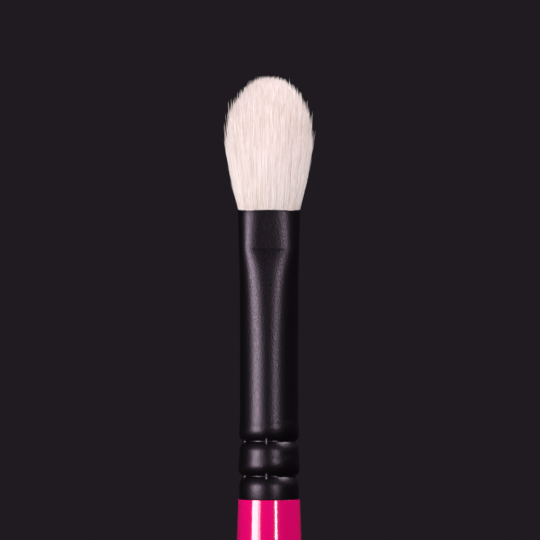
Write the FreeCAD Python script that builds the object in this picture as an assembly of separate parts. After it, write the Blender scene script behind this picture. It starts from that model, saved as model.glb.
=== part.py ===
# Eyeshadow brush: a fluffy goat-hair tuft set in a pinched and crimped ferrule on a lacquered wooden handle.
# Millimetres. Z runs along the brush towards the hair. The origin lies on the axis, at the middle of the
# handle's straight grip. The ferrule's pinched, broad faces look along -Y and +Y.
import FreeCAD, Part

import math
import os

from FreeCAD import Vector

# Handle, measured over its lacquer
grip_diameter = 7.6
grip_length = 22.0
shoulder_diameter = 6.56
shoulder_round = 0.12
swell_length = 28.0
taper_length = 67.0
butt_diameter = 4.6
butt_length = 3.0
lacquer_coat = 0.2

# Tenon, which the ferrule is glued and crimped on
tenon_chamfer = 0.5
glue_gap = 0.1
glue_groove_pitch = 1.6
glue_groove_width = 0.7
glue_groove_depth = 0.2

# Ferrule, a drawn aluminium tube
ferrule_length = 30.7
tube_diameter = 6.2
band_diameter = 6.34
wall = 0.35
end_break = 0.06

# Pinched mouth, from the lip down to where the tube is round again
mouth_width = 6.62
mouth_thickness = 4.95
lip_break = 0.06
pinch_length = 4.1
pinch_width = 6.42
pinch_thickness = 5.15
flatness_share = 1.05
blend_length = 6.0
blend_stations = 5
section_points = 32

# Crimps, pressed in by a ring of jaws that leaves small ribs between them
upper_crimp_height = 6.1
lower_crimp_height = 2.4
crimp_depth = 0.31
crimp_bulge = 0.09
roll_rise = 1.8
crest_rise = 1.05
flank_fall = 1.1
jaw_count = 6
jaw_gap_angle = 5.0
jaw_turn_angle = -95.6
jaw_rib_height = 0.14
jaw_rib_share = 0.4

# Hair, above and below the ferrule's mouth
hair_length = 14.2
tuft_width = 9.25
tuft_thickness = 7.1
belly_height = 7.9
hair_splay = 0.06
hair_root_depth = 13.1
hair_gap = 0.03

# Thread that ties the hair's root, and the resin that the root is set in
thread_diameter = 0.3
thread_turns = 5
resin_depth = 2.6
resin_collar = 0.9

# Shares that the handles of the curves take of the lengths that they follow
round_share = 0.55
roll_corner_share = 0.5
flank_reach_share = 0.4
flank_drop_share = 0.17
flare_rise_share = 0.6
flare_lean_share = 0.135
belly_rise_share = 0.3
dome_rise_share = 0.59
dome_run_share = 0.5

# Places along the axis
grip_top = grip_length / 2
grip_bottom = -grip_top
shoulder = grip_top + swell_length
taper_end = grip_bottom - taper_length
butt = taper_end - butt_length
mouth = shoulder + ferrule_length
pinch_end = mouth - pinch_length
round_start = pinch_end - blend_length
hair_butt = mouth - hair_root_depth
tenon_top = hair_butt - resin_depth
tenon_edge = tenon_top - tenon_chamfer
upper_crimp = shoulder + upper_crimp_height
lower_crimp = shoulder + lower_crimp_height
crimps_top = upper_crimp + roll_rise
tie_bottom = hair_butt + resin_collar
belly = mouth + belly_height
tuft_top = mouth + hair_length

# Radii, and depths under the tube's surface
tube_radius = tube_diameter / 2
band_radius = band_diameter / 2
groove_radius = tube_radius - crimp_depth
bore_radius = tube_radius - wall
tied_radius = bore_radius - hair_gap - thread_diameter
tenon_inset = wall + glue_gap
tenon_radius = tube_radius - tenon_inset

ORIGIN = Vector(0, 0, 0)
AXIS = Vector(0, 0, 1)


def at(radius, height):
    """A point of a profile, in the half plane that is turned about the axis."""
    return Vector(radius, 0, height)


def line(start, end):
    """A straight edge."""
    return Part.LineSegment(start, end).toShape()


def arc(start, middle, end):
    """A round edge through three points."""
    return Part.Arc(start, middle, end).toShape()


def bezier(*poles):
    """A curved edge between the first and last poles."""
    curve = Part.BezierCurve()
    curve.setPoles(list(poles))
    return curve.toShape()


def chain(*points):
    """Straight edges from point to point."""
    return [line(start, end) for start, end in zip(points, points[1:])]


def turned(edges, start_angle=0, angle=360):
    """The solid that a closed profile sweeps about the axis."""
    profile = Part.Face(Part.Wire(edges))
    profile.rotate(ORIGIN, AXIS, start_angle)
    return profile.revolve(ORIGIN, AXIS, angle)


def handle_side(inset, top):
    """The handle's profile from its shoulder down to the middle of its butt, a depth under the surface."""
    grip_radius = grip_diameter / 2 - inset
    butt_radius = butt_diameter / 2 - inset
    butt_end = butt + inset
    swell_start = at(shoulder_diameter / 2 - inset, top)
    swell_middle = at(grip_radius, (top + grip_top) / 2)
    taper_middle = at(grip_radius, (grip_bottom + taper_end) / 2)
    taper_tip = at(butt_radius, taper_end)
    tip_handle = (taper_tip - taper_middle).normalize() * (butt_length * round_share)
    return [
        bezier(swell_start, swell_middle, at(grip_radius, grip_top)),
        line(at(grip_radius, grip_top), at(grip_radius, grip_bottom)),
        bezier(at(grip_radius, grip_bottom), taper_middle, taper_tip),
        bezier(taper_tip, taper_tip + tip_handle, at(butt_radius * round_share, butt_end), at(0, butt_end)),
    ]


def crimp(centre, above, groove, below):
    """One crimp's profile, downwards: the tube swells a little, rolls in to the groove, and rises again below."""
    crest = above + crimp_bulge
    swell_start = at(above, centre + roll_rise)
    swell_handle = AXIS * ((roll_rise - crest_rise) * round_share)
    roll_start = at(crest, centre + crest_rise)
    roll_corner = at(crest, centre + crest_rise * roll_corner_share)
    bottom = at(groove, centre)
    flank_reach = at(groove + (below - groove) * flank_reach_share, centre - flank_fall * flank_drop_share)
    flank_end = at(below, centre - flank_fall)
    flank_handle = AXIS * (flank_fall * round_share)
    return [
        bezier(swell_start, swell_start - swell_handle, roll_start + swell_handle, roll_start),
        bezier(roll_start, roll_corner, bottom),
        bezier(bottom, flank_reach, flank_end + flank_handle, flank_end),
    ]


def crimped_side(inset, end):
    """The crimped stretch, from the plain tube down to its end, a depth under the tube's surface."""
    tube = tube_radius - inset
    groove = groove_radius - inset
    band = band_radius - inset
    between = line(at(band, upper_crimp - flank_fall), at(band, lower_crimp + roll_rise))
    last = line(at(band, lower_crimp - flank_fall), at(band, end))
    return crimp(upper_crimp, tube, groove, band) + [between] + crimp(lower_crimp, band, groove, band) + [last]


def tenon_side():
    """The tenon's profile from its chamfer down to the shoulder, with its glue grooves and the crimps' dents."""
    count = int((tenon_edge - crimps_top) // glue_groove_pitch)
    first = (tenon_edge + crimps_top + (count - 1) * glue_groove_pitch) / 2
    edges = []
    top = at(tenon_radius, tenon_edge)
    for index in range(count):
        centre = first - index * glue_groove_pitch
        start = at(tenon_radius, centre + glue_groove_width / 2)
        end = at(tenon_radius, centre - glue_groove_width / 2)
        edges += [line(top, start), arc(start, at(tenon_radius - glue_groove_depth, centre), end)]
        top = end
    return edges + [line(top, at(tenon_radius, crimps_top))] + crimped_side(tenon_inset, shoulder)


def flat_oval(width, thickness, flatness, height):
    """A closed section: an ellipse with its broad sides flattened."""
    power = 2 + flatness
    points = []
    for index in range(section_points):
        angle = 2 * math.pi * index / section_points
        across = Vector(math.cos(angle), math.sin(angle), 0)
        spread = (2 * abs(across.x) / width) ** power + (2 * abs(across.y) / thickness) ** power
        points.append(across * spread ** (-1 / power) + AXIS * height)
    curve = Part.BSplineCurve()
    curve.interpolate(Points=points, PeriodicFlag=True)
    return Part.Wire([curve.toShape()])


def pinched_tube(inset, lip_inset):
    """The tube's upper end as a full solid, a depth under its surface: round, then pinched flat at the mouth."""
    sections = [Part.Wire([Part.makeCircle(tube_radius - inset, AXIS * round_start)])]
    for station in range(1, blend_stations + 1):
        height = round_start + blend_length * station / blend_stations
        share = (station / blend_stations) ** 2
        width = tube_diameter + (pinch_width - tube_diameter) * share
        thickness = tube_diameter + (pinch_thickness - tube_diameter) * share
        sections.append(flat_oval(width - 2 * inset, thickness - 2 * inset, flatness_share * share, height))
    blend = Part.makeLoft(sections, True, False)
    lip_start = mouth - lip_break
    lip = flat_oval(mouth_width - 2 * inset, mouth_thickness - 2 * inset, flatness_share, lip_start)
    edge_width = mouth_width - 2 * (inset + lip_inset)
    edge_thickness = mouth_thickness - 2 * (inset + lip_inset)
    edge = flat_oval(edge_width, edge_thickness, flatness_share, mouth)
    pinch = Part.makeLoft([sections[-1], lip, edge], True, True)
    return blend.fuse(pinch)


def jaw_ribs():
    """The small ribs that the gaps between the jaws leave across each groove."""
    ribs = []
    outer = groove_radius + jaw_rib_height
    for centre in (upper_crimp, lower_crimp):
        top = centre + crest_rise * jaw_rib_share
        bottom = centre - flank_fall * jaw_rib_share
        edges = chain(at(bore_radius, top), at(outer, top), at(outer, bottom), at(bore_radius, bottom),
                      at(bore_radius, top))
        for index in range(jaw_count):
            start = jaw_turn_angle + 360 * index / jaw_count - jaw_gap_angle / 2
            ribs.append(turned(edges, start, jaw_gap_angle))
    return ribs


def ferrule():
    """The thin drawn tube: crimped on the tenon at one end, pinched flat round the hair at the other."""
    outside = chain(at(0, round_start), at(tube_radius, round_start), at(tube_radius, crimps_top))
    outside += crimped_side(0, shoulder + end_break)
    outside += chain(at(band_radius, shoulder + end_break), at(band_radius - end_break, shoulder),
                     at(0, shoulder), at(0, round_start))
    inside = chain(at(0, round_start), at(bore_radius, round_start), at(bore_radius, crimps_top))
    inside += crimped_side(wall, shoulder)
    inside += chain(at(band_radius - wall, shoulder), at(0, shoulder), at(0, round_start))
    crimped = turned(outside).fuse(jaw_ribs()).cut(turned(inside))
    pinched = pinched_tube(0, lip_break).cut(pinched_tube(wall, 0))
    return crimped.fuse(pinched).removeSplitter()


def handle_core():
    """The turned wood: tenon, shoulder, swelling grip and long taper."""
    top = chain(at(0, tenon_top), at(tenon_radius - tenon_chamfer, tenon_top), at(tenon_radius, tenon_edge))
    step = line(at(band_radius - tenon_inset, shoulder), at(shoulder_diameter / 2 - lacquer_coat, shoulder))
    axis = line(at(0, butt + lacquer_coat), at(0, tenon_top))
    return turned(top + tenon_side() + [step] + handle_side(lacquer_coat, shoulder) + [axis])


def handle_lacquer():
    """The dipped coat over all of the handle but its tenon."""
    outer_radius = shoulder_diameter / 2
    edge_centre = at(outer_radius - shoulder_round, shoulder - shoulder_round)
    edge_top = edge_centre + at(0, shoulder_round)
    edge_side = edge_centre + at(shoulder_round, 0)
    edge_middle = edge_centre + at(1, 1).normalize() * shoulder_round
    rim = [line(at(outer_radius - lacquer_coat, shoulder), edge_top), arc(edge_top, edge_middle, edge_side)]
    outside = handle_side(0, shoulder - shoulder_round)
    inside = handle_side(lacquer_coat, shoulder)
    axis = line(at(0, butt), at(0, butt + lacquer_coat))
    return turned(rim + outside + [axis] + inside[::-1])


def tenon_glue():
    """The sleeve of glue that fills the space between the tenon and the ferrule."""
    outside = [line(at(bore_radius, tenon_edge), at(bore_radius, crimps_top))] + crimped_side(wall, shoulder)
    foot = line(at(band_radius - wall, shoulder), at(band_radius - tenon_inset, shoulder))
    top = line(at(tenon_radius, tenon_edge), at(bore_radius, tenon_edge))
    return turned(outside + [foot] + tenon_side()[::-1] + [top])


def root_resin():
    """The resin that the hair's root is set in: a plug behind it and a low collar round it."""
    corners = [at(0, tenon_top), at(bore_radius, tenon_top), at(bore_radius, tie_bottom), at(tied_radius, tie_bottom),
               at(tied_radius, hair_butt), at(0, hair_butt), at(0, tenon_top)]
    return turned(chain(*corners))


def root_binding():
    """The thread that ties the hair above the resin, as a band with one round ridge for each turn."""
    middle = tied_radius + thread_diameter / 2
    tie_top = tie_bottom + thread_turns * thread_diameter
    edges = [line(at(tied_radius, tie_bottom), at(middle, tie_bottom))]
    for index in range(thread_turns):
        start = tie_bottom + index * thread_diameter
        ridge = at(tied_radius + thread_diameter, start + thread_diameter / 2)
        edges.append(arc(at(middle, start), ridge, at(middle, start + thread_diameter)))
    edges += chain(at(middle, tie_top), at(tied_radius, tie_top), at(tied_radius, tie_bottom))
    return turned(edges)


def hair_tuft():
    """The hair: a domed tuft that flares from the mouth, and its drawn-in root inside the ferrule."""
    foot_radius = mouth_width / 2 + hair_splay
    belly_radius = tuft_width / 2
    flare_reach = at(foot_radius + belly_height * flare_lean_share, mouth + belly_height * flare_rise_share)
    side = [
        bezier(at(foot_radius, mouth), flare_reach, at(belly_radius, belly - belly_height * belly_rise_share),
               at(belly_radius, belly)),
        bezier(at(belly_radius, belly), at(belly_radius, belly + (tuft_top - belly) * dome_rise_share),
               at(belly_radius * dome_run_share, tuft_top), at(0, tuft_top)),
    ]
    dome = turned(side + chain(at(0, tuft_top), at(0, mouth), at(foot_radius, mouth)))
    squeeze = FreeCAD.Matrix()
    squeeze.scale(1, tuft_thickness / tuft_width, 1)
    held = pinched_tube(wall + hair_gap, 0)
    tied = Part.makeCylinder(tied_radius, round_start - hair_butt, AXIS * hair_butt)
    return dome.transformGeometry(squeeze).fuse([held, tied])


PIECES = {
    "hair_tuft": hair_tuft,
    "root_binding": root_binding,
    "root_resin": root_resin,
    "ferrule": ferrule,
    "tenon_glue": tenon_glue,
    "handle_core": handle_core,
    "handle_lacquer": handle_lacquer,
}

os.makedirs("parts", exist_ok=True)
for name, make in PIECES.items():
    make().exportStep("parts/" + name + ".step")
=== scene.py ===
"""Eyeshadow brush: the hair, finishes, light and camera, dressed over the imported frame."""
import logging
import math
import random
from dataclasses import dataclass
from enum import Enum
from typing import Any, Iterator, Sequence

import bmesh
import bpy
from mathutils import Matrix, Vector
from mathutils.geometry import interpolate_bezier
from mathutils.kdtree import KDTree


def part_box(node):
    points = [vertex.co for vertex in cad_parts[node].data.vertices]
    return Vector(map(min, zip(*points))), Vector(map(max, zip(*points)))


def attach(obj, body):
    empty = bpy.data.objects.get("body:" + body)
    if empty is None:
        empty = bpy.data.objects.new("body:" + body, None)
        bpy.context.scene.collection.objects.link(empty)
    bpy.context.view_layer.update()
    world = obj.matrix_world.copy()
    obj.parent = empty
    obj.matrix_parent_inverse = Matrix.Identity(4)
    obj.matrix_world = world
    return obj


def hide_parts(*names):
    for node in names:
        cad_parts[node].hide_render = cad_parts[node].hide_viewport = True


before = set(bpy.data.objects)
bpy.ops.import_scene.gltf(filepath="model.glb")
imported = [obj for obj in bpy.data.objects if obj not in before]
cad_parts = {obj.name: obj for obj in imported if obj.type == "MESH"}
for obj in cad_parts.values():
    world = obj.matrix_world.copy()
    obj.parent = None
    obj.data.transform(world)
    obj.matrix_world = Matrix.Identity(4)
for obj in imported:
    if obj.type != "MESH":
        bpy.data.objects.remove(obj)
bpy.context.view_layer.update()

LOG = logging.getLogger("brush")
MM = 0.001
BODY = "root"
UP = Vector((0.0, 0.0, 1.0))

# Points of a turned shape that lie closer than this are one point
MERGE_GAP = 0.0001 * MM
# How far the handles of a curve reach towards its corner, for a round and for a parabola
ROUND_SHARE = 0.55
PARABOLA_SHARE = 2 / 3
# The stretch of a noise's values that a colour ramp spreads over
NOISE_RANGE = (0.3, 0.7)
# A noise's scale along the brush, as a share of its scale across, for a pattern of long streaks
STREAK_STRETCH = 0.08
# Colour sockets of a mix node, whose sockets of other kinds have the same names
MIX_FIRST, MIX_SECOND, MIX_RESULT = 6, 7, 2


def linear(code: str) -> tuple[float, float, float, float]:
    """Turns an sRGB hex colour into linear light.

    Args:
        code: Six hex digits, without a hash sign.

    Returns:
        Red, green, blue and a full alpha.
    """
    levels = [int(code[start:start + 2], 16) / 255 for start in (0, 2, 4)]
    light = [level / 12.92 if level <= 0.04045 else ((level + 0.055) / 1.055) ** 2.4 for level in levels]
    return light[0], light[1], light[2], 1.0


def set_inputs(tree: bpy.types.NodeTree, node: bpy.types.Node, inputs: dict[Any, Any]) -> None:
    """Sets a node's inputs to values, or links them to sockets.

    Args:
        tree: The node's tree.
        node: The node.
        inputs: Values or sockets, by the input's name or number.
    """
    for name, value in inputs.items():
        if isinstance(value, bpy.types.NodeSocket):
            tree.links.new(value, node.inputs[name])
        else:
            node.inputs[name].default_value = value


def add_node(tree: bpy.types.NodeTree, kind: str, inputs: dict[Any, Any] | None = None,
             **settings: Any) -> bpy.types.Node:
    """Adds a shader node with its settings and links.

    Args:
        tree: The node tree that gets the node.
        kind: Blender's name for the node's type.
        inputs: Values or sockets for the node's inputs, by name or number.
        settings: Values for the node's own properties.

    Returns:
        The new node.
    """
    node = tree.nodes.new(kind)
    for name, value in settings.items():
        setattr(node, name, value)
    set_inputs(tree, node, inputs or {})
    return node


def add_stops(ramp: bpy.types.Node, stops: Sequence[tuple[float, str]]) -> None:
    """Sets the stops of a colour ramp.

    Args:
        ramp: The ramp's node.
        stops: Places from 0 to 1, each with its sRGB hex colour.
    """
    elements = ramp.color_ramp.elements
    while len(elements) < len(stops):
        elements.new(1.0)
    for element, (place, code) in zip(elements, stops):
        element.position = place
        element.color = linear(code)


def new_material(name: str) -> tuple[bpy.types.Material, bpy.types.NodeTree, bpy.types.Node]:
    """Makes an empty node material.

    Args:
        name: The material's name.

    Returns:
        The material, its node tree, and its principled shader, which is joined to the output.
    """
    material = bpy.data.materials.new(name)
    material.use_nodes = True
    tree = material.node_tree
    tree.nodes.clear()
    shader = add_node(tree, "ShaderNodeBsdfPrincipled")
    add_node(tree, "ShaderNodeOutputMaterial", {"Surface": shader.outputs["BSDF"]})
    return material, tree, shader


def smooth_step(low: float, high: float, value: float) -> float:
    """Rises smoothly from 0 at the low mark to 1 at the high mark."""
    share = min(max((value - low) / (high - low), 0.0), 1.0)
    return share * share * (3.0 - 2.0 * share)


def bell(distance: float, width: float) -> float:
    """Falls smoothly from 1 as the distance grows past the width."""
    return math.exp(-((distance / width) ** 2))


def new_piece(name: str, bm: bmesh.types.BMesh, material: bpy.types.Material, slot: str,
              *nodes: str, normals: Sequence[Vector] = ()) -> bpy.types.Object:
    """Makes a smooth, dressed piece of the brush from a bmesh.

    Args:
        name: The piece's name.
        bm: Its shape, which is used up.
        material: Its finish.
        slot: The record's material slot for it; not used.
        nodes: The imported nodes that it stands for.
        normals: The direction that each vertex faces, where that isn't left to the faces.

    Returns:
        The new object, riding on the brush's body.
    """
    mesh = bpy.data.meshes.new(name)
    for face in bm.faces:
        face.smooth = True
    bm.to_mesh(mesh)
    bm.free()
    if normals:
        mesh.normals_split_custom_set_from_vertices(normals)
    mesh.materials.append(material)
    piece = bpy.data.objects.new(name, mesh)
    bpy.context.scene.collection.objects.link(piece)
    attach(piece, BODY)
    if nodes:
        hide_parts(*nodes)
    LOG.info("%s: %d faces, %s", name, len(mesh.polygons), material.name)
    return piece


def spun(profile: Sequence[Vector], steps: int, closed: bool) -> bmesh.types.BMesh:
    """Turns a profile about the brush's axis.

    Args:
        profile: Points in the XZ half plane.
        steps: Steps of the full turn.
        closed: True if the profile's last point joins its first.

    Returns:
        A closed skin with its normals outwards.
    """
    bm = bmesh.new()
    verts = [bm.verts.new(point) for point in profile]
    ends = verts[1:] + verts[:1] if closed else verts[1:]
    edges = [bm.edges.new(pair) for pair in zip(verts, ends)]
    bmesh.ops.spin(bm, geom=verts + edges, cent=(0, 0, 0), axis=UP, angle=math.tau, steps=steps,
                   use_merge=True)
    bmesh.ops.remove_doubles(bm, verts=bm.verts, dist=MERGE_GAP)
    bmesh.ops.recalc_face_normals(bm, faces=bm.faces)
    return bm


def at(radius: float, height: float) -> Vector:
    """A point of a profile, at a radius and height."""
    return Vector((radius, 0.0, height))


def bend(start: Vector, corner: Vector, end: Vector, count: int,
         leave: float = ROUND_SHARE, arrive: float = ROUND_SHARE) -> list[Vector]:
    """Points of a curve that turns a corner.

    Args:
        start: Its first point.
        corner: The corner that it rounds off.
        end: Its last point.
        count: How many points.
        leave: How far its first handle reaches towards the corner.
        arrive: How far its last handle does.

    Returns:
        The points, both ends included.
    """
    return interpolate_bezier(start, start.lerp(corner, leave), end.lerp(corner, arrive), end, count)


@dataclass(frozen=True)
class Places:
    """Heights and reaches that the pieces share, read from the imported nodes, in metres."""

    butt: float
    shoulder: float
    mouth: float
    tip: float
    tuft_reach: float
    tuft_depth: float

    @classmethod
    def from_frame(cls) -> "Places":
        """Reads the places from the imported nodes' boxes.

        Returns:
            The places.
        """
        tuft_low, tuft_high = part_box("hair_tuft")
        ferrule_low, ferrule_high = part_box("ferrule")
        lacquer_low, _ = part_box("handle_lacquer")
        return cls(
            butt=lacquer_low.z,
            shoulder=ferrule_low.z,
            mouth=ferrule_high.z,
            tip=tuft_high.z,
            tuft_reach=(tuft_high.x - tuft_low.x) / 2,
            tuft_depth=(tuft_high.y - tuft_low.y) / 2,
        )


@dataclass(frozen=True)
class GoatHair:
    """Bleached goat hair, uncut: cream white, each hair a little warmer or paler, with a soft gloss."""

    tan: str = "BE9F8C"
    cream: str = "D4C0B9"
    cream_tone: float = 0.35
    pale: str = "DECFCC"
    pale_tone: float = 0.65
    white: str = "EFE5E4"
    tip: str = "DFD0D2"
    tip_share: float = 0.4
    tip_start: float = 0.6
    # Painted shade: the colour that each hair is darkened towards near its root
    root: str = "D2BFBC"
    root_shade_share: float = 0.45
    root_shade_stretch: tuple[float, float] = (0.1, 0.4)
    roughness: float = 0.5
    sheen: float = 0.15
    sheen_roughness: float = 0.6

    def material(self) -> bpy.types.Material:
        """Colours each hair by its own tone, darkens it towards its root as painted shade, and cools it
        towards its tip.

        Returns:
            The finish.
        """
        material, tree, shader = new_material("bleached_goat_hair")
        tone = add_node(tree, "ShaderNodeAttribute", attribute_name="tone")
        ramp = add_node(tree, "ShaderNodeValToRGB", {"Fac": tone.outputs["Fac"]})
        add_stops(ramp, [(0.0, self.tan), (self.cream_tone, self.cream), (self.pale_tone, self.pale),
                         (1.0, self.white)])
        along = add_node(tree, "ShaderNodeAttribute", attribute_name="along")
        near_tip = add_node(tree, "ShaderNodeMapRange", {
            "Value": along.outputs["Fac"], "From Min": self.tip_start, "From Max": 1.0,
            "To Max": self.tip_share})
        # Painted shade near each hair's root: full up to the first share of its length, gone by the second
        root_shade_full, root_shade_end = self.root_shade_stretch
        root_shade_mask = add_node(tree, "ShaderNodeMapRange", {
            "Value": along.outputs["Fac"], "From Min": root_shade_end, "From Max": root_shade_full,
            "To Max": self.root_shade_share})
        colour = ramp.outputs["Color"]
        for share, end in ((near_tip, self.tip), (root_shade_mask, self.root)):
            mixed = add_node(tree, "ShaderNodeMix", {
                "Factor": share.outputs["Result"], MIX_FIRST: colour, MIX_SECOND: linear(end),
            }, data_type="RGBA")
            colour = mixed.outputs[MIX_RESULT]
        set_inputs(tree, shader, {
            "Base Color": colour, "Roughness": self.roughness, "Sheen Weight": self.sheen,
            "Sheen Roughness": self.sheen_roughness, "Sheen Tint": linear(self.cream)})
        return material


@dataclass(frozen=True)
class BlackCoat:
    """Matte black coat sprayed on drawn aluminium: near black, with a powdery grain in its soft highlights.

    Where the crimping jaws have pressed, the coat is burnished and catches a sharper light. The ribs between
    the jaws are painted a pale grey, as bare aluminium and as a painted highlight, brightest on ribs facing
    front and back.
    """

    colour: str = "050406"
    worn: str = "0B090C"
    # Pale grey of the ribs: bare aluminium, and a painted highlight as well
    bare_metal_glint: str = "706B70"
    roughness: float = 0.35
    roughness_spread: float = 0.08
    burnish: float = 0.1
    tint: str = "FFE2FF"
    grain_mm: float = 0.2
    grain_depth_mm: float = 0.018
    grain_detail: float = 2.0
    worn_range: tuple[float, float] = (0.35, 0.75)
    gloss_range: tuple[float, float] = (0.25, 0.75)

    def material(self) -> bpy.types.Material:
        """Breaks up the black and its gloss with the coat's grain, drawn coarse enough to show.

        Returns:
            The finish.
        """
        material, tree, shader = new_material("matte_black_coat")
        place = add_node(tree, "ShaderNodeTexCoord")
        grain = add_node(tree, "ShaderNodeTexNoise", {
            "Vector": place.outputs["Object"], "Scale": 1 / (self.grain_mm * MM),
            "Detail": self.grain_detail})
        ramp = add_node(tree, "ShaderNodeValToRGB", {"Fac": grain.outputs["Fac"]})
        add_stops(ramp, list(zip(self.worn_range, (self.colour, self.worn))))
        gloss = add_node(tree, "ShaderNodeMapRange", {
            "Value": grain.outputs["Fac"], "From Min": self.gloss_range[0], "From Max": self.gloss_range[1],
            "To Min": self.roughness + self.roughness_spread,
            "To Max": self.roughness - self.roughness_spread})
        pressed = add_node(tree, "ShaderNodeAttribute", attribute_name="burnish")
        burnished = add_node(tree, "ShaderNodeMath", {
            0: pressed.outputs["Fac"], 1: -self.burnish, 2: gloss.outputs["Result"],
        }, operation="MULTIPLY_ADD")
        bump = add_node(tree, "ShaderNodeBump", {
            "Height": grain.outputs["Fac"], "Strength": 1.0, "Distance": self.grain_depth_mm * MM})
        # Painted highlight: the ribs' pale grey, mixed in by the mesh's mask, stands for bare aluminium and
        # for their glint
        rubbed_glint = add_node(tree, "ShaderNodeAttribute", attribute_name="rubbed_glint")
        colour = add_node(tree, "ShaderNodeMix", {
            "Factor": rubbed_glint.outputs["Fac"],
            MIX_FIRST: ramp.outputs["Color"], MIX_SECOND: linear(self.bare_metal_glint),
        }, data_type="RGBA")
        set_inputs(tree, shader, {
            "Base Color": colour.outputs[MIX_RESULT], "Roughness": burnished.outputs["Value"],
            "Specular Tint": linear(self.tint), "Normal": bump.outputs["Normal"]})
        return material


@dataclass(frozen=True)
class PinkLacquer:
    """Dipped pink lacquer: saturated colour under a clear gloss, with a dried dip coat's faint waviness."""

    colour: str = "E8006E"
    deep: str = "DB0067"
    mottle_mm: float = 9.0
    wave_mm: float = 1.3
    wave_depth_mm: float = 0.0006
    roughness: float = 0.16
    under_gloss: float = 0.2
    coat_roughness: float = 0.03

    def material(self) -> bpy.types.Material:
        """Lays the clear coat over a pink that drifts a little along the handle.

        Returns:
            The finish.
        """
        material, tree, shader = new_material("dipped_pink_lacquer")
        place = add_node(tree, "ShaderNodeTexCoord")
        drift = add_node(tree, "ShaderNodeTexNoise", {
            "Vector": place.outputs["Object"], "Scale": 1 / (self.mottle_mm * MM), "Detail": 1.0})
        ramp = add_node(tree, "ShaderNodeValToRGB", {"Fac": drift.outputs["Fac"]})
        add_stops(ramp, list(zip(NOISE_RANGE, (self.colour, self.deep))))
        wave = add_node(tree, "ShaderNodeTexNoise", {
            "Vector": place.outputs["Object"], "Scale": 1 / (self.wave_mm * MM), "Detail": 1.0})
        bump = add_node(tree, "ShaderNodeBump", {
            "Height": wave.outputs["Fac"], "Strength": 1.0, "Distance": self.wave_depth_mm * MM})
        set_inputs(tree, shader, {
            "Base Color": ramp.outputs["Color"], "Roughness": self.roughness,
            "Specular IOR Level": self.under_gloss, "Normal": bump.outputs["Normal"],
            "Coat Weight": 1.0, "Coat Roughness": self.coat_roughness, "Coat Normal": bump.outputs["Normal"]})
        return material


class Inner(Enum):
    """Finishes of the pieces inside: name, two colours, the size of the pattern in millimetres, roughness."""

    BIRCH = ("turned_birch", "C9A06C", "DDBB8C", 0.8, 0.6)
    RESIN = ("set_epoxy_resin", "B98A4A", "C99B5C", 2.0, 0.2)
    GLUE = ("dried_wood_glue", "D8CFB4", "E6DFC9", 1.5, 0.4)
    THREAD = ("waxed_cotton_thread", "D9D2C4", "EFE9DD", 0.3, 0.7)

    def material(self) -> bpy.types.Material:
        """Mixes the two colours in a streak that follows the brush's length.

        Returns:
            The finish.
        """
        name, dark, light, pattern_mm, roughness = self.value
        material, tree, shader = new_material(name)
        place = add_node(tree, "ShaderNodeTexCoord")
        stretch = add_node(tree, "ShaderNodeMapping", {
            "Vector": place.outputs["Object"], "Scale": (1.0, 1.0, STREAK_STRETCH)})
        streak = add_node(tree, "ShaderNodeTexNoise", {
            "Vector": stretch.outputs["Vector"], "Scale": 1 / (pattern_mm * MM), "Detail": 3.0})
        ramp = add_node(tree, "ShaderNodeValToRGB", {"Fac": streak.outputs["Fac"]})
        add_stops(ramp, list(zip(NOISE_RANGE, (dark, light))))
        set_inputs(tree, shader, {"Base Color": ramp.outputs["Color"], "Roughness": roughness})
        return material


@dataclass
class Hair:
    """One hair: where it stands in the bundle, its ends, lean and sway, and its tone and thickness."""

    across: float
    through: float
    start: float
    end: float
    lean_across: float
    lean_through: float
    pull_across: float
    pull_through: float
    sway: float
    phase: float
    spread: float
    tone: float
    thickness: float


@dataclass(frozen=True)
class Lock:
    """A few hairs that cling together: the lean, sway, tone and length that they share."""

    lean_across: float
    lean_through: float
    phase: float
    tone: float
    longer: float


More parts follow.
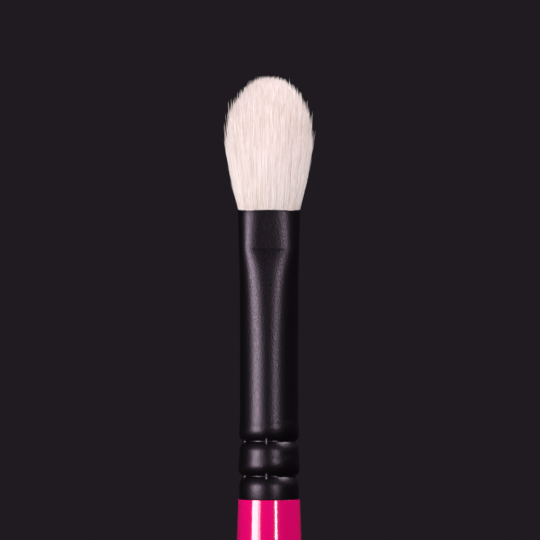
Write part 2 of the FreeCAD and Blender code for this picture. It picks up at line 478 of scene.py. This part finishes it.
@dataclass
class HairTuft:
    """The tuft: thousands of tapered hairs that fan from the ferrule's mouth and end along a dome."""

    places: Places
    seed: int = 11

    # How many hairs, and the form of one
    hair_count: int = 18000
    stray_count: int = 800
    lock_count: int = 1500
    piece_hairs: int = 4000
    sides: int = 3
    rings: tuple[float, ...] = (0.0, 0.1, 0.3, 0.55, 0.75, 0.88, 0.95)
    ring_digits: int = 4
    hair_diameter: float = 0.075 * MM
    hair_sizes: tuple[float, float] = (0.75, 1.1)
    taper_start: float = 0.7
    tip_thickness: float = 0.35

    # The fan from the ferrule's mouth
    root_depth: float = 0.7 * MM
    root_reach: float = 2.86 * MM
    root_stand: float = 0.92
    lip_height: float = 0.25 * MM
    lip_reach: float = 3.31 * MM
    fan_rise: float = 0.24
    fan_ease: float = 0.0088 / MM
    mouth_flatness: float = 1.0
    flatness_height: float = 4.0 * MM

    # The dome that the hairs end along
    crown_room: float = 0.3 * MM
    low_end: float = 4.5 * MM
    dome_fill: float = 2.2
    dome_power: float = 0.57
    dome_run: float = 5.5 * MM

    # The dense heart under the loose hairs
    heart_stand: float = 0.95
    heart_drop: float = 0.5 * MM
    heart_steps: int = 240
    heart_side_rows: int = 8
    heart_dome_rows: int = 24
    heart_tone_spread: float = 0.12

    # How hairs lean, cling to their lock, flare and sway
    lock_jitter: float = 0.2
    lock_pull: float = 0.2
    pull_shares: tuple[float, float] = (0.4, 1.0)
    pull_power: float = 16.0
    lock_lean: float = 0.011
    hair_lean: float = 0.011
    lean_power: float = 1.8
    flare_share: float = 0.3
    flare_spread: float = 0.045
    flare_power: int = 2
    sway_reach: float = 0.03 * MM
    sway_spread: float = 0.5
    sway_length: float = 9.0 * MM
    phase_spread: float = 0.6

    # How unevenly they end, more so towards the sides
    short_share: float = 0.15
    short_reach: float = 1.4 * MM
    long_share: float = 0.4
    long_reach: float = 0.26 * MM
    end_spread: float = 0.17 * MM
    lock_spread: float = 0.05 * MM
    side_spread: float = 5.0
    side_power: int = 4

    # Tones, from 0 for tan to 1 for white
    mean_tone: float = 0.6
    lock_tone_spread: float = 0.13
    hair_tone_spread: float = 0.28

    # Stray hairs along the sides
    stray_stands: tuple[float, float] = (0.97, 1.0)
    stray_ends: tuple[float, float] = (0.2, 0.6)
    stray_sways: tuple[float, float] = (0.5, 1.5)
    stray_spread: float = 0.06
    stray_tones: tuple[float, float] = (0.5, 1.0)
    stray_sizes: tuple[float, float] = (0.45, 0.8)

    # How far the hairs take the light as the tuft's surface does
    facing_share: float = 0.5
    facing_step: float = 0.01

    @property
    def height(self) -> float:
        """The hair's length above the mouth."""
        return self.places.tip - self.places.mouth

    def reach(self, height: float) -> float:
        """How far across the outermost hairs stand at a height above the mouth, where they fan out.

        Args:
            height: Height above the mouth, negative inside the ferrule.

        Returns:
            Half the fan's width there.
        """
        if height < self.lip_height:
            share = smooth_step(-self.root_depth, self.lip_height, height)
            return self.root_reach + (self.lip_reach - self.root_reach) * share
        rise = height - self.lip_height
        return self.lip_reach + self.fan_rise * rise - self.fan_ease * rise * rise

    def dome_end(self, stand: float) -> float:
        """The height at which a hair ends, from its stand: 0 in the middle, 1 outermost."""
        rise = max(1.0 - stand ** self.dome_fill, 0.0) ** self.dome_power
        return self.low_end + (self.height - self.crown_room - self.low_end) * rise

    def place(self, across: float, through: float, height: float) -> Vector:
        """A point of the bundle.

        Args:
            across: Stand across the width, from -1 to 1.
            through: Stand through the thickness, from -1 to 1.
            height: Height above the mouth.

        Returns:
            The point, in the brush's frame.
        """
        flatness = self.mouth_flatness * (1.0 - smooth_step(0.0, self.flatness_height, height))
        power = 2.0 + flatness
        stand = math.hypot(across, through)
        fill = 1.0
        if stand > 0.0:
            fill = (abs(across / stand) ** power + abs(through / stand) ** power) ** (-1 / power)
        reach = self.reach(height) * fill
        depth = reach * self.places.tuft_depth / self.places.tuft_reach
        return Vector((across * reach, through * depth, self.places.mouth + height))

    def locks(self, draw: random.Random) -> tuple[list[Lock], KDTree]:
        """Spreads the locks evenly over the bundle.

        Args:
            draw: The source of chance.

        Returns:
            The locks, and a tree that finds the nearest one.
        """
        golden = math.pi * (3.0 - math.sqrt(5.0))
        locks = []
        tree = KDTree(self.lock_count)
        for index in range(self.lock_count):
            stand = math.sqrt((index + 0.5) / self.lock_count)
            angle = index * golden + draw.uniform(-self.lock_jitter, self.lock_jitter)
            spot = Vector((stand * math.cos(angle), stand * math.sin(angle), 0.0))
            tree.insert(spot, index)
            locks.append(Lock(
                lean_across=draw.gauss(0, self.lock_lean), lean_through=draw.gauss(0, self.lock_lean),
                phase=draw.uniform(0, math.tau), tone=draw.gauss(self.mean_tone, self.lock_tone_spread),
                longer=draw.gauss(0, self.lock_spread),
            ))
        tree.balance()
        return locks, tree

    def hairs(self) -> list[Hair]:
        """Draws the hairs: each belongs to the nearest lock, whose lean, sway and tone it shares.

        Returns:
            The hairs, with the stray ones last.
        """
        draw = random.Random(self.seed)
        locks, tree = self.locks(draw)
        hairs = []
        for _ in range(self.hair_count):
            stand = math.sqrt(draw.random())
            angle = draw.uniform(0, math.tau)
            across, through = stand * math.cos(angle), stand * math.sin(angle)
            spot, index, _ = tree.find((across, through, 0.0))
            lock = locks[index]
            pull = self.lock_pull * draw.uniform(*self.pull_shares)
            uneven = 1.0 + self.side_spread * stand ** self.side_power
            end = self.dome_end(stand) + (lock.longer + draw.gauss(0, self.end_spread)) * uneven
            if draw.random() < self.short_share:
                end -= draw.uniform(0, self.short_reach)
            elif draw.random() < self.long_share:
                end += draw.uniform(0, self.long_reach) * uneven
            end = min(end, self.height)
            from_root = stand > self.root_stand
            hairs.append(Hair(
                across=across, through=through,
                start=-self.root_depth if from_root else max(end - self.dome_run, -self.root_depth),
                end=end,
                lean_across=lock.lean_across + draw.gauss(0, self.hair_lean),
                lean_through=lock.lean_through + draw.gauss(0, self.hair_lean),
                pull_across=(spot.x - across) * pull, pull_through=(spot.y - through) * pull,
                sway=self.sway_reach * draw.gauss(1.0, self.sway_spread),
                phase=lock.phase + draw.gauss(0, self.phase_spread),
                spread=draw.uniform(0, self.flare_spread) if draw.random() < self.flare_share else 0.0,
                tone=min(max(lock.tone + draw.gauss(0, self.hair_tone_spread), 0.0), 1.0),
                thickness=draw.uniform(*self.hair_sizes),
            ))
        for _ in range(self.stray_count):
            angle = draw.uniform(0, math.tau)
            stand = draw.uniform(*self.stray_stands)
            hairs.append(Hair(
                across=stand * math.cos(angle), through=stand * math.sin(angle), start=-self.root_depth,
                end=draw.uniform(*self.stray_ends) * self.height,
                lean_across=0.0, lean_through=0.0, pull_across=0.0, pull_through=0.0,
                sway=self.sway_reach * draw.uniform(*self.stray_sways), phase=draw.uniform(0, math.tau),
                spread=draw.uniform(0, self.stray_spread), tone=draw.uniform(*self.stray_tones),
                thickness=draw.uniform(*self.stray_sizes),
            ))
        return hairs

    def point(self, hair: Hair, share: float) -> Vector:
        """A point on a hair's line.

        Args:
            hair: The hair.
            share: Place along it, from 0 at its root to 1 at its tip.

        Returns:
            The point, in the brush's frame.
        """
        height = hair.start + (hair.end - hair.start) * share
        along = (height + self.root_depth) / (hair.end + self.root_depth)
        lean, pull = along ** self.lean_power, along ** self.pull_power
        grow = 1.0 + hair.spread * along ** self.flare_power
        spot = self.place((hair.across + hair.lean_across * lean + hair.pull_across * pull) * grow,
                          (hair.through + hair.lean_through * lean + hair.pull_through * pull) * grow, height)
        turn = math.tau * height / self.sway_length + hair.phase
        return spot + Vector((math.cos(turn), math.sin(turn), 0.0)) * (hair.sway * along)

    def template(self) -> bpy.types.Mesh:
        """Models one straight hair of unit size: rings up its length that close in a point.

        Returns:
            Its mesh.
        """
        bm = bmesh.new()
        made = bmesh.ops.create_circle(bm, segments=self.sides, radius=1.0)
        edges = list({edge for vert in made["verts"] for edge in vert.link_edges})
        for low, high in zip(self.rings, self.rings[1:] + (1.0,)):
            grown = bmesh.ops.extrude_edge_only(bm, edges=edges)["geom"]
            ring = [item for item in grown if isinstance(item, bmesh.types.BMVert)]
            edges = [item for item in grown if isinstance(item, bmesh.types.BMEdge)]
            bmesh.ops.translate(bm, verts=ring, vec=UP * (high - low))
        bmesh.ops.pointmerge(bm, verts=ring, merge_co=UP)
        bmesh.ops.recalc_face_normals(bm, faces=bm.faces)
        mesh = bpy.data.meshes.new("hair_template")
        bm.to_mesh(mesh)
        bm.free()
        return mesh

    def thickness(self, share: float) -> float:
        """A hair's thickness along its length, as a share of its full thickness."""
        taper = smooth_step(self.taper_start, 1.0, share)
        return 1.0 - (1.0 - self.tip_thickness) * taper

    def facing(self, hair: Hair) -> tuple[Vector, Vector]:
        """The directions that the tuft's surface faces beside a hair.

        Args:
            hair: The hair.

        Returns:
            The direction beside its root, and the one where it ends.
        """
        stand = max(math.hypot(hair.across, hair.through), 2 * self.facing_step)
        low, high = self.dome_end(stand), self.dome_end(stand - self.facing_step)
        steep = (high - low) / (self.facing_step * self.reach(low))
        outward = Vector((hair.across / self.places.tuft_reach, hair.through / self.places.tuft_depth, 0.0))
        outward.normalize()
        return (outward - UP * self.fan_rise).normalized(), (outward * steep + UP).normalized()

    def strands(self, hairs: Sequence[Hair],
                template: bpy.types.Mesh) -> tuple[bmesh.types.BMesh, list[Vector]]:
        """Models hairs by bending copies of the template along their lines.

        Args:
            hairs: The hairs.
            template: The straight hair.

        Returns:
            The hairs in one bmesh, with their tone and the place along each hair as attributes, and the
            direction that each vertex faces: partly as the tuft's surface does, as fine hairs scatter light.
        """
        bm = bmesh.new()
        for _ in hairs:
            bm.from_mesh(template)
        tone = bm.verts.layers.float.new("tone")
        along = bm.verts.layers.float.new("along")
        verts: Iterator[bmesh.types.BMVert] = iter(bm.verts)
        normals: list[Vector] = []
        count = len(template.vertices)
        for hair in hairs:
            radius = self.hair_diameter / 2 * hair.thickness
            root_facing, end_facing = self.facing(hair)
            line: dict[float, Vector] = {}
            for _ in range(count):
                vert = next(verts)
                share = round(vert.co.z, self.ring_digits)
                if share not in line:
                    line[share] = self.point(hair, share)
                round_side = Vector((vert.co.x, vert.co.y, 0.0))
                side = round_side * radius * self.thickness(share)
                facing = root_facing.lerp(end_facing, share)
                normals.append(round_side.lerp(facing, self.facing_share).normalized())
                vert[tone] = hair.tone
                vert[along] = share
                vert.co = line[share] + (side if share < 1.0 else Vector())
        return bm, normals

    def heart(self) -> bmesh.types.BMesh:
        """Models the dense heart of the bundle, just under the loose outer hairs, streaked as they are.

        Returns:
            Its closed skin, with its tone and the place along the hair as attributes.
        """
        draw = random.Random(self.seed)
        stand, low, rows = self.heart_stand, -self.root_depth, self.heart_side_rows
        rise = self.low_end - self.heart_drop - low
        profile = [at(0.0, low)]
        profile += [at(stand, low + rise * row / rows) for row in range(rows + 1)]
        for row in range(1, self.heart_dome_rows + 1):
            inward = math.cos(math.pi / 2 * row / self.heart_dome_rows)
            profile.append(at(stand * inward, self.dome_end(inward) - self.heart_drop))
        bm = spun(profile, self.heart_steps, closed=False)
        tone = bm.verts.layers.float.new("tone")
        bm.verts.layers.float.new("along")
        streaks = [draw.gauss(self.mean_tone, self.heart_tone_spread) for _ in range(self.heart_steps)]
        for vert in bm.verts:
            column = round(math.atan2(vert.co.y, vert.co.x) / math.tau * self.heart_steps)
            vert[tone] = streaks[column % self.heart_steps]
            vert.co = self.place(vert.co.x, vert.co.y, vert.co.z)
        return bm

    def build(self) -> None:
        """Builds the tuft in place of its plain solid."""
        finish = GoatHair().material()
        new_piece("hair_heart", self.heart(), finish, "hair", "hair_tuft")
        hairs = self.hairs()
        template = self.template()
        for number, start in enumerate(range(0, len(hairs), self.piece_hairs)):
            bm, normals = self.strands(hairs[start:start + self.piece_hairs], template)
            layer = new_piece(f"hair_layer_{number + 1}", bm, finish, "hair", "hair_tuft", normals=normals)
            # Bleached hair is translucent, so its fine shadows on itself are left to the heart.
            layer.visible_shadow = False
        bpy.data.meshes.remove(template)


@dataclass
class Ferrule:
    """The drawn tube: pinched flat round the hair, and crimped on the tenon by a ring of jaws."""

    places: Places
    steps: int = 480

    # The drawn tube
    tube_radius: float = 3.1 * MM
    band_radius: float = 3.17 * MM
    wall: float = 0.35 * MM
    edge_round: float = 0.07 * MM
    edge_rows: int = 4

    # The pinched mouth and its lip
    lip_round: float = 0.12 * MM
    lip_arrive: float = 0.45
    lip_rows: tuple[int, int] = (5, 6)
    mouth_width: float = 6.62 * MM
    mouth_thickness: float = 4.95 * MM
    mouth_flatness: float = 0.65
    pinch_length: float = 4.1 * MM
    pinch_width: float = 6.42 * MM
    pinch_thickness: float = 5.25 * MM
    pinch_flatness: float = 1.25
    pinch_rows: int = 6
    crease: float = 0.09 * MM

    # Below the pinch, where the broad faces swell out again sooner than the rest grows round
    bulge_length: float = 1.9 * MM
    bulge_power: float = 3.0
    rounding_length: float = 2.24 * MM
    rounding_power: float = 1.6
    blend_length: float = 12.0 * MM
    blend_rows: int = 36
    fade_share: float = 0.5
    inner_shares: tuple[float, ...] = (0.66, 0.33, 0.0)

    # The crimps, from the upper one down
    crimp_heights: tuple[float, ...] = (6.1 * MM, 2.4 * MM)
    groove_radius: float = 2.79 * MM
    groove_land: float = 0.05 * MM
    crimp_bulge: float = 0.09 * MM
    roll_rise: float = 2.6 * MM
    crest_rise: float = 0.75 * MM
    swell_share: float = 0.45
    swell_rows: int = 8
    roll_rows: int = 14
    flank_fall: float = 1.1 * MM
    flank_leave: tuple[float, float] = (0.145, -0.17)
    flank_arrive: float = 0.5
    flank_rows: int = 14

    # How unevenly the jaws pressed, with angles in degrees from the front
    crest_lift: float = 0.53 * MM
    crest_step: float = 0.32 * MM
    crest_blend: float = 8.0
    crest_reach: tuple[float, float] = (42.0, 80.0)
    jaws: int = 6
    jaw_turn: float = -5.6
    rib_radius: float = 2.93 * MM
    rib_angle: float = 1.6
    rib_fade_share: float = 0.25
    # How the ribs' pale grey, partly a painted highlight, narrows to their crests and fades away from the
    # front and back
    rub_glint_power: float = 3.0
    glint_facing_power: float = 1.5
    first_start: float = -64.0
    second_start: float = 22.5
    second_end: float = 79.0
    strike_edge: float = 1.0
    strike_end_edge: float = 5.0
    first_lift: float = 0.1 * MM
    second_lift: float = 0.08 * MM
    strike_reach: float = 0.32 * MM
    burnish_reach: float = 0.16 * MM

    @property
    def round_start(self) -> float:
        """The height at which the tube is round again, below its pinched mouth."""
        return self.places.mouth - self.pinch_length - self.blend_length

    def crimp(self, centre: float, above: float) -> list[Vector]:
        """One crimp's profile, downwards: it swells a little, rolls in to the groove, and rises again.

        Args:
            centre: The groove's height.
            above: The tube's radius above the crimp.

        Returns:
            The profile's points.
        """
        start = at(above, centre + self.roll_rise)
        crest = at(above + self.crimp_bulge, centre + self.crest_rise)
        top = at(self.groove_radius, centre + self.groove_land)
        bottom = at(self.groove_radius, centre - self.groove_land)
        foot = at(self.band_radius, centre - self.flank_fall)
        swell = UP * (start.z - crest.z) * self.swell_share
        roll = at(crest.x, (crest.z + top.z) / 2)
        fall = bottom.z - foot.z
        points = interpolate_bezier(start, start - swell, crest + swell, crest, self.swell_rows)
        points += bend(crest, roll, top, self.roll_rows, PARABOLA_SHARE, PARABOLA_SHARE)[1:]
        points += interpolate_bezier(bottom, bottom + at(*self.flank_leave) * fall,
                                     foot + UP * fall * self.flank_arrive, foot, self.flank_rows)
        return points

    def profile(self) -> list[Vector]:
        """The wall's closed profile as if the tube were round: up inside, over the lip and down outside.

        Returns:
            The profile's points.
        """
        outer, inner = self.tube_radius, self.tube_radius - self.wall
        mouth, foot = self.places.mouth, self.places.shoulder
        pinch_end = mouth - self.pinch_length
        lip, (inner_rows, outer_rows) = self.lip_round, self.lip_rows
        points = [at(inner, foot + self.edge_round), at(inner, self.round_start)]
        points += [at(inner, pinch_end - self.blend_length * share) for share in self.inner_shares]
        points += bend(at(inner, mouth - lip), at(inner, mouth), at(inner + lip, mouth), inner_rows,
                       arrive=self.lip_arrive)
        points += bend(at(outer - lip, mouth), at(outer, mouth), at(outer, mouth - lip), outer_rows,
                       arrive=self.lip_arrive)
        flat = self.pinch_length - lip - self.crease
        points += [at(outer, mouth - lip - flat * row / self.pinch_rows)
                   for row in range(1, self.pinch_rows + 1)]
        points += [at(outer, pinch_end)]
        # Squared, so that the rows lie closest together just below the crease
        points += [at(outer, pinch_end - self.blend_length * (row / self.blend_rows) ** 2)
                   for row in range(1, self.blend_rows + 1)]
        radius = outer
        for height in self.crimp_heights:
            points += self.crimp(foot + height, radius)
            radius = self.band_radius
        edge = self.edge_round
        points += bend(at(radius, foot + edge), at(radius, foot), at(radius - edge, foot), self.edge_rows)
        return points + [at(inner + edge, foot)]

    def section(self, angle: float, height: float) -> float:
        """The tube's radius in its pinched stretch.

        Args:
            angle: The direction, in radians from +X.
            height: The height.

        Returns:
            The outer radius there.
        """
        pinch_end = self.places.mouth - self.pinch_length
        if height >= pinch_end:
            share = (height - pinch_end) / self.pinch_length
            width = self.pinch_width + (self.mouth_width - self.pinch_width) * share
            thickness = self.pinch_thickness + (self.mouth_thickness - self.pinch_thickness) * share
            flatness = self.pinch_flatness + (self.mouth_flatness - self.pinch_flatness) * share
        else:
            below = pinch_end - height
            share = 1.0 / (1.0 + (below / self.rounding_length) ** self.rounding_power)
            front = math.exp(-below / self.bulge_length)
            facing = abs(math.sin(angle)) ** self.bulge_power
            fade = 1.0 - smooth_step(self.blend_length * self.fade_share, self.blend_length, below)
            pressed = (share + (front - share) * facing) * fade
            share *= fade
            width = 2 * self.tube_radius + (self.pinch_width - 2 * self.tube_radius) * share
            thickness = 2 * self.tube_radius + (self.pinch_thickness - 2 * self.tube_radius) * pressed
            flatness = self.pinch_flatness * share
        power = 2.0 + flatness
        spread = abs(2 * math.cos(angle) / width) ** power + abs(2 * math.sin(angle) / thickness) ** power
        return spread ** (-1 / power)

    def strike(self, angle: float) -> float:
        """How far the jaws struck above the even groove.

        Args:
            angle: The direction, in degrees from the front.

        Returns:
            The lift there.
        """
        edge, end_edge = self.strike_edge, self.strike_end_edge
        second = smooth_step(self.second_start - edge, self.second_start + edge, angle)
        first = smooth_step(self.first_start - edge, self.first_start + edge, angle) * (1.0 - second)
        second *= 1.0 - smooth_step(self.second_end - end_edge, self.second_end + end_edge, angle)
        return self.first_lift * first + self.second_lift * second

    def rib(self, angle: float) -> float:
        """How much of a rib between two jaws is left standing.

        Args:
            angle: The direction, in degrees from the front.

        Returns:
            The share of the rib's height there.
        """
        gap = 360.0 / self.jaws
        fade = gap * self.rib_fade_share
        struck = smooth_step(self.second_start, self.second_start + fade, angle)
        struck *= 1.0 - smooth_step(self.second_end - fade, self.second_end, angle)
        return bell((angle - self.jaw_turn + gap / 2) % gap - gap / 2, self.rib_angle) * (1.0 - struck)

    def crest_rises(self, angle: float, above: float) -> float:
        """How far a crimp's swelling stands higher than at the sides, as two uneven jaws left it.

        Args:
            angle: The direction, in degrees from the front.
            above: The height above the groove.

        Returns:
            The rise there.
        """
        facing = 1.0 - smooth_step(*self.crest_reach, abs(angle))
        step = smooth_step(self.jaw_turn - self.crest_blend, self.jaw_turn + self.crest_blend, angle)
        if above < self.crest_rise:
            share = max(above, 0.0) / self.crest_rise
        else:
            share = max(self.roll_rise - above, 0.0) / (self.roll_rise - self.crest_rise)
        return (self.crest_lift + self.crest_step * step) * facing * share

    def build(self) -> None:
        """Builds the ferrule in place of its plain solid."""
        bm = spun(self.profile(), self.steps, closed=True)
        burnish = bm.verts.layers.float.new("burnish")
        rubbed_glint = bm.verts.layers.float.new("rubbed_glint")
        crimps = [self.places.shoulder + height for height in self.crimp_heights]
        for vert in bm.verts:
            radius, height = math.hypot(vert.co.x, vert.co.y), vert.co.z
            direction = Vector((vert.co.x, vert.co.y, 0.0)) / radius
            from_front = math.degrees(math.atan2(vert.co.x, -vert.co.y))
            if height > self.round_start:
                radius += self.section(math.atan2(vert.co.y, vert.co.x), height) - self.tube_radius
            elif height > crimps[-1] - self.flank_fall:
                crimp = next(crimp for crimp in crimps if height > crimp - self.flank_fall)
                above = height - crimp
                rib = self.rib(from_front)
                # Painted highlight: the ribs' pale grey, strongest where they face front and back
                if radius < self.rib_radius:
                    vert[rubbed_glint] = rib ** self.rub_glint_power * abs(direction.y) ** self.glint_facing_power
                radius += max(self.rib_radius - radius, 0.0) * rib
                vert[burnish] = bell(above, self.burnish_reach)
                height += self.strike(from_front) * bell(above, self.strike_reach)
                height += self.crest_rises(from_front, above)
            vert.co = direction * radius + UP * height
        new_piece("crimped_ferrule", bm, BlackCoat().material(), "ferrule_black", "ferrule")


@dataclass
class Handle:
    """The turned wooden handle under its dipped pink coat."""

    places: Places
    steps: int = 160
    grip_radius: float = 3.8 * MM
    grip_length: float = 22.0 * MM
    shoulder_radius: float = 3.28 * MM
    shoulder_round: float = 0.02 * MM
    butt_radius: float = 2.3 * MM
    butt_length: float = 3.0 * MM
    coat: float = 0.2 * MM
    swell_rows: int = 24
    taper_rows: int = 32
    butt_rows: int = 14
    rim_rows: int = 6

    def side(self, inset: float, top: float) -> list[Vector]:
        """The handle's profile from its shoulder to the middle of its butt.

        Args:
            inset: Depth under the surface.
            top: The height of the profile's first point.

        Returns:
            The profile's points.
        """
        grip, butt_radius = self.grip_radius - inset, self.butt_radius - inset
        grip_top, grip_low = self.grip_length / 2, -self.grip_length / 2
        taper_end, butt = self.places.butt + self.butt_length, self.places.butt + inset
        start, end = at(self.shoulder_radius - inset, top), at(butt_radius, taper_end)
        swell, taper = at(grip, (top + grip_top) / 2), at(grip, (grip_low + taper_end) / 2)
        lean = (end - taper).normalized() * self.butt_length * ROUND_SHARE
        points = bend(start, swell, at(grip, grip_top), self.swell_rows, PARABOLA_SHARE, PARABOLA_SHARE)
        points += bend(at(grip, grip_low), taper, end, self.taper_rows, PARABOLA_SHARE, PARABOLA_SHARE)
        points += interpolate_bezier(end, end + lean, at(butt_radius * ROUND_SHARE, butt), at(0.0, butt),
                                     self.butt_rows)[1:]
        return points

    def profile(self) -> list[Vector]:
        """The coat's profile: up the wood, over the shoulder's edge, and down the outside.

        Returns:
            The profile's points.
        """
        top, edge, radius = self.places.shoulder, self.shoulder_round, self.shoulder_radius
        rim = bend(at(radius - edge, top), at(radius, top), at(radius, top - edge), self.rim_rows)
        return self.side(self.coat, top)[::-1] + rim + self.side(0.0, top - edge)[1:]

    def build(self) -> None:
        """Builds the lacquer coat in place of its plain solid."""
        bm = spun(self.profile(), self.steps, closed=False)
        new_piece("lacquer_coat", bm, PinkLacquer().material(), "lacquer_pink", "handle_lacquer")


def dress_inner_nodes() -> None:
    """Gives the pieces inside the brush their finishes."""
    finishes = {
        "handle_core": Inner.BIRCH,
        "root_resin": Inner.RESIN,
        "tenon_glue": Inner.GLUE,
        "root_binding": Inner.THREAD,
    }
    for node, finish in finishes.items():
        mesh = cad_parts[node].data
        mesh.materials.clear()
        mesh.materials.append(finish.material())
        LOG.info("%s: %s", node, finish.value[0])


@dataclass(frozen=True)
class Softbox:
    """A rectangular studio light that faces the brush, with its angles in degrees and its sizes in metres."""

    name: str
    azimuth: float
    elevation: float
    distance: float
    width: float
    height: float
    radiance: float

    def build(self, target: Vector) -> None:
        """Hangs the light round the brush.

        Args:
            target: The point that it faces.
        """
        turn, tilt = math.radians(self.azimuth), math.radians(self.elevation)
        back = Vector((math.sin(turn) * math.cos(tilt), -math.cos(turn) * math.cos(tilt), math.sin(tilt)))
        data = bpy.data.lights.new(self.name, "AREA")
        data.shape = "RECTANGLE"
        data.size, data.size_y = self.width, self.height
        data.energy = self.radiance * math.pi * self.width * self.height
        lamp = bpy.data.objects.new(self.name, data)
        lamp.location = target + back * self.distance
        lamp.rotation_euler = (-back).to_track_quat("-Z", "Y").to_euler()
        bpy.context.scene.collection.objects.link(lamp)


@dataclass
class Studio:
    """A plain pale floor, a dim plain surround, soft light, and the camera."""

    places: Places
    surround: str = "1F1B21"
    overhead: str = "161318"
    fade_stretch: tuple[float, float] = (0.05, 0.5)
    fill: float = 0.18
    floor_colour: str = "BAB8BC"
    floor_size: float = 3.0
    floor_cloud: float = 0.05
    floor_roughness: tuple[float, float] = (0.75, 0.9)
    picture: int = 540
    sensor_mm: float = 36.0
    pixel_size: float = 0.106 * MM
    camera_distance: float = 0.61
    view_depth: float = 10.0
    axis_column: float = 269.1
    mouth_row: float = 209.6
    lights: tuple[Softbox, ...] = (
        Softbox("key_box", -53.0, 1.0, 0.6, 0.244, 0.2, 15.2),
        Softbox("key_edge", -37.0, 1.0, 0.6, 0.094, 0.2, 7.5),
        Softbox("side_strip", 25.2, 3.0, 0.6, 0.085, 0.2, 16.5),
        Softbox("right_top", 100.0, 52.0, 0.6, 0.5, 0.25, 8.5),
        Softbox("back_top", 180.0, 60.0, 0.6, 0.4, 0.4, 1.5),
    )

    def build_world(self) -> None:
        """Shows a dim surround, and lights softly from all sides."""
        world = bpy.data.worlds.new("studio")
        bpy.context.scene.world = world
        world.use_nodes = True
        tree = world.node_tree
        tree.nodes.clear()
        path = add_node(tree, "ShaderNodeLightPath")
        seen = add_node(tree, "ShaderNodeMath", {
            0: path.outputs["Is Camera Ray"], 1: path.outputs["Is Glossy Ray"]}, operation="MAXIMUM")
        seen = add_node(tree, "ShaderNodeMath", {
            0: seen.outputs["Value"], 1: path.outputs["Is Transmission Ray"]}, operation="MAXIMUM")
        soft = add_node(tree, "ShaderNodeBackground", {"Color": (1, 1, 1, 1), "Strength": self.fill})
        place = add_node(tree, "ShaderNodeTexCoord")
        parts = add_node(tree, "ShaderNodeSeparateXYZ", {"Vector": place.outputs["Generated"]})
        fade = add_node(tree, "ShaderNodeValToRGB", {"Fac": parts.outputs["Z"]})
        add_stops(fade, list(zip(self.fade_stretch, (self.surround, self.overhead))))
        dim = add_node(tree, "ShaderNodeBackground", {"Color": fade.outputs["Color"], "Strength": 1.0})
        mixed = add_node(tree, "ShaderNodeMixShader", {
            0: seen.outputs["Value"], 1: soft.outputs["Background"], 2: dim.outputs["Background"]})
        add_node(tree, "ShaderNodeOutputWorld", {"Surface": mixed.outputs["Shader"]})

    def build_floor(self) -> None:
        """Lays a plain floor under the handle's butt, which the gloss of the brush doesn't mirror."""
        bm = bmesh.new()
        bmesh.ops.create_grid(bm, x_segments=2, y_segments=2, size=self.floor_size / 2)
        bmesh.ops.translate(bm, verts=bm.verts, vec=UP * self.places.butt)
        mesh = bpy.data.meshes.new("floor")
        bm.to_mesh(mesh)
        bm.free()
        material, tree, shader = new_material("pale_painted_floor")
        place = add_node(tree, "ShaderNodeTexCoord")
        cloud = add_node(tree, "ShaderNodeTexNoise", {
            "Vector": place.outputs["Object"], "Scale": 1 / self.floor_cloud})
        smooth, rough = self.floor_roughness
        gloss = add_node(tree, "ShaderNodeMapRange", {
            "Value": cloud.outputs["Fac"], "To Min": smooth, "To Max": rough})
        set_inputs(tree, shader, {
            "Base Color": linear(self.floor_colour), "Roughness": gloss.outputs["Result"]})
        mesh.materials.append(material)
        floor = bpy.data.objects.new("floor", mesh)
        floor.visible_glossy = False
        bpy.context.scene.collection.objects.link(floor)

    def build_camera(self) -> None:
        """Sets the camera level with the ferrule, square to the brush's broad face."""
        data = bpy.data.cameras.new("camera")
        data.sensor_width = self.sensor_mm
        data.lens = self.sensor_mm * self.camera_distance / (self.pixel_size * self.picture)
        data.clip_end = self.view_depth
        camera = bpy.data.objects.new("camera", data)
        half = self.picture / 2
        camera.location = ((half - self.axis_column) * self.pixel_size, -self.camera_distance,
                           self.places.mouth + (self.mouth_row - half) * self.pixel_size)
        camera.rotation_euler = (math.pi / 2, 0.0, 0.0)
        bpy.context.scene.collection.objects.link(camera)
        bpy.context.scene.camera = camera

    def build(self) -> None:
        """Builds the camera, surround, floor and lights."""
        bpy.context.scene.view_settings.view_transform = "Standard"
        self.build_camera()
        self.build_world()
        self.build_floor()
        for light in self.lights:
            light.build(UP * self.places.mouth)


def main() -> None:
    """Builds the brush and its studio."""
    logging.basicConfig(level=logging.INFO, format="%(name)s %(message)s")
    places = Places.from_frame()
    Studio(places).build()
    HairTuft(places).build()
    Ferrule(places).build()
    Handle(places).build()
    dress_inner_nodes()


if __name__ == "__main__":
    main()
